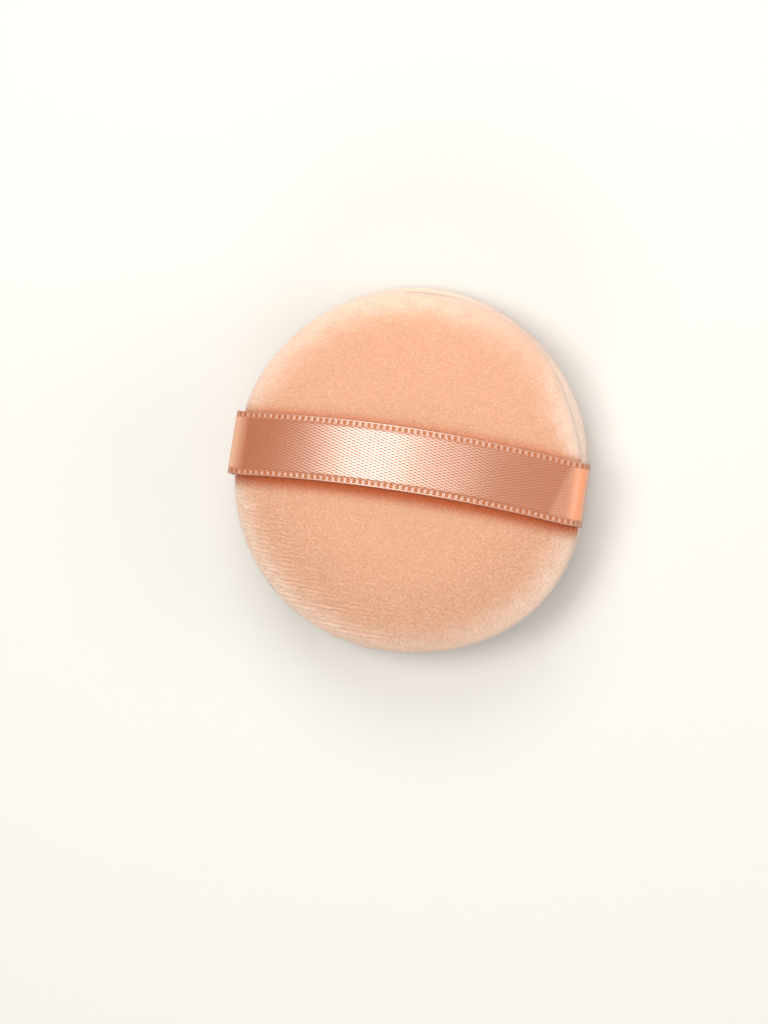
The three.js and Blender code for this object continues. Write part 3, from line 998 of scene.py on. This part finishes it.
selvedge = {
    "pitch": 0.98 * mm,
    "cordRadius": 0.12 * mm,
    "barRadius": 0.13 * mm,
    "barReach": 4.80 * mm,
    "barFoot": 3.95 * mm,
    "barHalf": 0.12 * mm,
    "scallopMiddle": 4.12 * mm,
    "scallopSwing": 0.15 * mm,
    "scallopRadius": 0.12 * mm,
    "scallopLift": 0.16 * mm,
    "flatness": 0.27,
}


def threadPiece(name, points, radius, sides=2):
    clearSelection()
    bpy.ops.curve.primitive_nurbs_path_add()
    path = bpy.context.object
    path.name = name
    path.data.splines.clear()
    spline = path.data.splines.new("POLY")
    spline.points.add(len(points) - 1)
    for point, place in zip(spline.points, points):
        point.co = (*place, 1)
    path.data.bevel_depth = radius
    path.data.bevel_resolution = sides
    path.data.use_fill_caps = False
    bpy.ops.object.convert(target="MESH")
    piece = bpy.context.object
    piece.name = name
    return piece


def makeSelvedge(side):
    count = int(2 * ribbonHalf / selvedge["pitch"])
    start = -count * selvedge["pitch"] / 2
    cordPlace = ribbon["width"] / 2 - selvedge["cordRadius"]
    cord = threadPiece("cord", [
        (start + selvedge["pitch"] * step / 4, side * cordPlace, 0)
        for step in range(4 * count + 1)], selvedge["cordRadius"], 2)
    half, reach, foot = selvedge["barHalf"], selvedge["barReach"], selvedge["barFoot"]
    bar = []
    for step in range(9):
        turn = math.pi * step / 8
        bar.append((-half * math.cos(turn), side * (reach - half + half * math.sin(turn)), 0))
    legs = [(-half * 1.1, side * foot, 0), (-half * 0.95, side * (foot + reach) / 2, 0)]
    legsBack = [(-x, y, z) for x, y, z in reversed(legs)]
    loop = threadPiece("loop", legs + bar + legsBack, selvedge["barRadius"], 1)
    loop.location.x = start + selvedge["pitch"] / 2
    placeInMesh(loop)
    addModifier(loop, "ARRAY", count=count, use_relative_offset=False, use_constant_offset=True,
                constant_offset_displace=(selvedge["pitch"], 0, 0))
    scallop = threadPiece("scallop", [
        (start + selvedge["pitch"] * step / 12,
         side * (selvedge["scallopMiddle"] + selvedge["scallopSwing"] * -math.cos(math.pi * step / 6)),
         selvedge["scallopLift"] * (0.6 + 0.4 * math.cos(math.pi * step / 6)))
        for step in range(12 * count + 1)], selvedge["scallopRadius"], 1)
    return [cord, loop, scallop]


satinLook = {
    # the dips between the floats: partly the weave's own colour, partly painted shade, a little darker
    "dipShade": colour(0.325, 0.087, 0.029),
    "float": colour(0.345, 0.093, 0.032),
    "glow": colour(1.0, 0.60, 0.40),  # light that comes back out of the threads, coloured by their dye
    "turned": colour(0.69, 0.37, 0.24),  # painted light: the web is painted lighter where it turns over the rim, as the side light it catches there
    # painted light: the right end is painted a brighter red where it turns towards the lights on the right
    "turnedRight": colour(0.80, 0.30, 0.155),
    "worn": colour(0.375, 0.112, 0.043),  # the shoulders are rubbed duller
    "wornFrom": 13 * mm,
    "wornTo": 23 * mm,
    "wornShare": 0.26,
    "turnStart": (26.0 * mm, 28.2 * mm),
    "turnEnd": (29.2 * mm, 31.5 * mm),
    # the slanting fold at the right, painted lighter as the light it catches
    "rightTurn": (24.5 * mm, 25.2 * mm),
    "rightSlant": 0.29,
    "rightShare": 0.30,
    "dimple": colour(0.38, 0.11, 0.042),
    "loop": colour(0.49, 0.185, 0.085),
    "loopDeep": colour(0.39, 0.13, 0.058),
    "webGloss": 1.5,
    "webRoughness": 0.5,
    "floatGloss": 2.19,
    "dipGloss": 0.15,  # the dips between the floats shine a little too
    "floatRoughness": 0.285,
    "threadRoughness": 0.30,
    "counterLeft": 0.40,
    "counterRight": 0.48,
    "counterFrom": -6 * mm,
    "counterTo": 14 * mm,
    "wovenHalf": 3.95 * mm,
    "dimpleHalf": 4.12 * mm,
    "alongPitch": 1.29 * mm,
    "acrossPitch": 0.451 * mm,
    "sheen": 0.15,
    "sheenTint": colour(1.0, 0.74, 0.52),
}


def waveOf(tree, along, across, alongSign):
    first = addMath(tree, "MULTIPLY", along, alongSign * 2 * math.pi / satinLook["alongPitch"])
    second = addMath(tree, "MULTIPLY", across, 2 * math.pi / satinLook["acrossPitch"])
    return addMath(tree, "COSINE", addMath(tree, "ADD", first, second))


def makeSatinMaterial():
    material, tree, shader = newMaterial("wovenSatin")
    flat = addNode(tree, "ShaderNodeAttribute", attribute_name="flatPlace").outputs["Vector"]
    parts = addNode(tree, "ShaderNodeSeparateXYZ", {0: flat})
    along, across = parts.outputs["X"], parts.outputs["Y"]
    counterShare = addNode(tree, "ShaderNodeMapRange", {
        "Value": along, "From Min": satinLook["counterFrom"], "From Max": satinLook["counterTo"],
        "To Min": satinLook["counterLeft"], "To Max": satinLook["counterRight"]}).outputs["Result"]
    crossed = addNode(tree, "ShaderNodeMix", {
        0: counterShare, 2: waveOf(tree, along, across, 1), 3: waveOf(tree, along, across, -1)})
    weave = addNode(tree, "ShaderNodeMapRange", {
        "Value": crossed.outputs[0], "From Min": -0.45, "From Max": 0.35})
    height = weave.outputs["Result"]
    edge = addNode(tree, "ShaderNodeMapRange", {
        "Value": addMath(tree, "ABSOLUTE", across),
        "From Min": satinLook["wovenHalf"], "From Max": satinLook["dimpleHalf"]}).outputs["Result"]
    # masks for painted light: the ends that turn over the rim, and the slanting fold at the right
    askew = addMath(tree, "MULTIPLY", across, satinLook["rightSlant"])
    turnStart, turnEnd = [addNode(tree, "ShaderNodeMapRange", {
        "Value": addMath(tree, "ABSOLUTE", along),
        "From Min": satinLook[part][0], "From Max": satinLook[part][1]}).outputs["Result"]
        for part in ("turnStart", "turnEnd")]
    endTurn = addMath(tree, "SUBTRACT", turnStart, turnEnd)
    rightTurn = addNode(tree, "ShaderNodeMapRange", {
        "Value": addMath(tree, "SUBTRACT", along, askew),
        "From Min": satinLook["rightTurn"][0], "From Max": satinLook["rightTurn"][1]}).outputs["Result"]
    turned = addMath(tree, "MAXIMUM", endTurn, addMath(
        tree, "MULTIPLY", rightTurn, satinLook["rightShare"]))
    rubbed = addNode(tree, "ShaderNodeMapRange", {
        "Value": addMath(tree, "ABSOLUTE", along), "From Min": satinLook["wornFrom"],
        "From Max": satinLook["wornTo"], "To Max": satinLook["wornShare"]}).outputs["Result"]
    worn = addMath(tree, "MULTIPLY", rubbed, addMath(tree, "SUBTRACT", 1.0, rightTurn))
    # the weave's dips painted a little darker, partly as their shade
    tone = mixColours(tree, height, satinLook["dipShade"], satinLook["float"])
    tone = mixColours(tree, worn, tone, satinLook["worn"])
    # painted light on the ends that turn over the rim and on the fold
    tone = mixColours(tree, turned, tone, satinLook["turned"])
    # painted light: the right end painted a brighter red
    rightEnd = addMath(tree, "MULTIPLY", endTurn, addMath(tree, "GREATER_THAN", along, 0.0))
    tone = mixColours(tree, rightEnd, tone, satinLook["turnedRight"])
    tree.links.new(mixColours(tree, edge, tone, satinLook["dimple"]), shader.inputs["Base Color"])
    dull = addMath(tree, "MAXIMUM", edge, addMath(tree, "MAXIMUM", turned, worn))
    dull = addMath(tree, "MAXIMUM", dull, addMath(tree, "LESS_THAN", parts.outputs["Z"], 0.0))
    gloss = addNode(tree, "ShaderNodeMapRange", {
        "Value": height, "To Min": satinLook["dipGloss"]}).outputs["Result"]
    shiny = addMath(tree, "MULTIPLY", gloss, addMath(tree, "SUBTRACT", 1.0, dull))
    tree.links.new(shiny, shader.inputs["Coat Weight"])
    bump = addNode(tree, "ShaderNodeBump", {"Height": height, "Strength": 0.3, "Distance": 0.05 * mm})
    tree.links.new(bump.outputs["Normal"], shader.inputs["Normal"])
    shader.inputs["Roughness"].default_value = satinLook["webRoughness"]
    shader.inputs["IOR"].default_value = satinLook["webGloss"]
    shader.inputs["Specular IOR Level"].default_value = 1.0
    shader.inputs["Specular Tint"].default_value = satinLook["glow"]
    shader.inputs["Coat IOR"].default_value = satinLook["floatGloss"]
    shader.inputs["Coat Roughness"].default_value = satinLook["floatRoughness"]
    shader.inputs["Sheen Weight"].default_value = satinLook["sheen"]
    shader.inputs["Sheen Roughness"].default_value = 0.4
    shader.inputs["Sheen Tint"].default_value = satinLook["sheenTint"]
    return material


def makeSelvedgeMaterial():
    material, tree, shader = newMaterial("selvedgeThread")
    flat = addNode(tree, "ShaderNodeAttribute", attribute_name="flatPlace").outputs["Vector"]
    shade = addMottle(tree, flat, 9000.0, 700.0, 0.3)
    tone = mixColours(tree, shade, satinLook["loopDeep"], satinLook["loop"])
    tree.links.new(tone, shader.inputs["Base Color"])
    bump = addNode(tree, "ShaderNodeBump", {"Height": shade, "Strength": 0.3, "Distance": 0.03 * mm})
    tree.links.new(bump.outputs["Normal"], shader.inputs["Normal"])
    shader.inputs["Roughness"].default_value = 0.6
    facing = addNode(tree, "ShaderNodeLayerWeight", {"Blend": 0.5}).outputs["Facing"]
    gloss = addNode(tree, "ShaderNodeMapRange", {
        "Value": facing, "From Min": 0.45, "From Max": 0.85, "To Min": 1.0, "To Max": 0.0})
    tree.links.new(gloss.outputs["Result"], shader.inputs["Coat Weight"])
    shader.inputs["Coat IOR"].default_value = satinLook["floatGloss"]
    shader.inputs["Coat Roughness"].default_value = satinLook["threadRoughness"]
    shader.inputs["Sheen Weight"].default_value = satinLook["sheen"]
    shader.inputs["Sheen Roughness"].default_value = 0.4
    shader.inputs["Sheen Tint"].default_value = satinLook["sheenTint"]
    return material


def makeRibbon():
    web = makeWeb()
    threads = makeSelvedge(1) + makeSelvedge(-1)
    clearSelection()
    for piece in threads:
        piece.select_set(True)
    bpy.context.view_layer.objects.active = threads[0]
    bpy.ops.object.join()
    edge = bpy.context.object
    edge.name = "ribbonSelvedges"
    edge.scale.z = selvedge["flatness"]  # pressed flat by the loom
    placeInMesh(edge)
    for piece in (web, edge):
        mapFlat(piece)
        rememberFlat(piece)
        moveVertices(piece, layOnRibbon)
        makeActive(piece)
        bpy.ops.object.shade_smooth()
    finishWith(web, makeSatinMaterial())
    finishWith(edge, makeSelvedgeMaterial())
    for piece in (web, edge):
        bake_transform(piece)
    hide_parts("ribbon_band", "ribbon_tail_left", "ribbon_tail_right")
    print("ribbon", round(2 * ribbonHalf / mm, 1), "mm long")
    return web, edge


satinRibbon, ribbonSelvedges = makeRibbon()
print("ribbon made")


# Sponge core: a ball pressed to a lens, with the groove that the seam presses in, and open pores

sponge = {
    "gap": 0.9 * mm,  # to the covers' outside, past their fabric
    "power": 2.9,
    "grooveTop": 2.0 * mm,
    "grooveEase": 1.3 * mm,
    "poreSize": 1.5 * mm,
    "poreDepth": 0.40 * mm,
    # painted shade: the pores are painted darker, as the shade inside them
    "poreShade": colour(0.60, 0.49, 0.37),
    "wallColour": colour(0.93, 0.87, 0.76),
}


def makeSponge():
    low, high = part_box("foam_core")
    clearSelection()
    bpy.ops.mesh.primitive_ico_sphere_add(subdivisions=7, radius=1)
    piece = bpy.context.object
    piece.name = "spongeCore"
    grooveRadius = cover["rawEdgeRadius"] - sponge["gap"]

    def pressed(co):
        across = math.hypot(co.x, co.y)
        share = (across ** sponge["power"] + abs(co.z) ** sponge["power"]) ** (-1 / sponge["power"])
        height = co.z * share * (high.z - seamHeight if co.z > 0 else seamHeight - low.z)
        free = easeIn(abs(height), sponge["grooveTop"], sponge["grooveTop"] + sponge["grooveEase"])
        radius = across * share * high.y
        radius = min(radius, grooveRadius + (high.y - grooveRadius) * free)
        turn = math.atan2(co.y, co.x)
        return Vector((radius * math.cos(turn) * high.x / high.y, radius * math.sin(turn),
                       height + seamHeight))

    moveVertices(piece, pressed)
    rememberAt(piece, "poreShare", lambda co: 1 - easeIn(
        noise.voronoi(co / sponge["poreSize"])[0][0], 0.15, 0.48))
    shares = piece.data.attributes["poreShare"].data
    sunk = [vertex.co - vertex.normal * sponge["poreDepth"] * share.value
            for vertex, share in zip(piece.data.vertices, shares)]
    for vertex, place in zip(piece.data.vertices, sunk):
        vertex.co = place
    piece.data.update()
    makeActive(piece)
    bpy.ops.object.shade_smooth()
    return piece


def makeSpongeMaterial():
    material, tree, shader = newMaterial("spongeFoam")
    place = addNode(tree, "ShaderNodeTexCoord").outputs["Object"]
    shade = addMottle(tree, place, 4200.0, 900.0, 0.4)
    pores = addNode(tree, "ShaderNodeAttribute", attribute_name="poreShare").outputs["Fac"]
    # painted shade in the pores
    tone = mixColours(tree, pores, sponge["wallColour"], sponge["poreShade"])
    speckled = mixColours(tree, shade, colour(0.86, 0.84, 0.80), colour(1, 1, 1))
    tree.links.new(mixColours(tree, 1.0, tone, speckled, "MULTIPLY"), shader.inputs["Base Color"])
    bump = addNode(tree, "ShaderNodeBump", {"Height": shade, "Strength": 0.6, "Distance": 0.15 * mm})
    tree.links.new(bump.outputs["Normal"], shader.inputs["Normal"])
    shader.inputs["Roughness"].default_value = 0.95
    return material


spongeCore = makeSponge()
finishWith(spongeCore, makeSpongeMaterial())
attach(spongeCore, "puff")
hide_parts("foam_core")
print("sponge made")


# Threads, which stay as they are and get their finish


def makeThreadMaterial():
    material, tree, shader = newMaterial("sewingThread")
    place = addNode(tree, "ShaderNodeTexCoord").outputs["Object"]
    shade = addMottle(tree, place, 7000.0, 900.0, 0.2)
    tone = mixColours(tree, shade, colour(0.62, 0.28, 0.15), colour(0.86, 0.48, 0.31))
    tree.links.new(tone, shader.inputs["Base Color"])
    shader.inputs["Roughness"].default_value = 0.55
    return material


threadMaterial = makeThreadMaterial()
for nodeName in ("rim_seam_thread", "closing_thread"):
    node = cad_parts[nodeName]
    node.data.materials.clear()
    node.data.materials.append(threadMaterial)

print("finishes set")
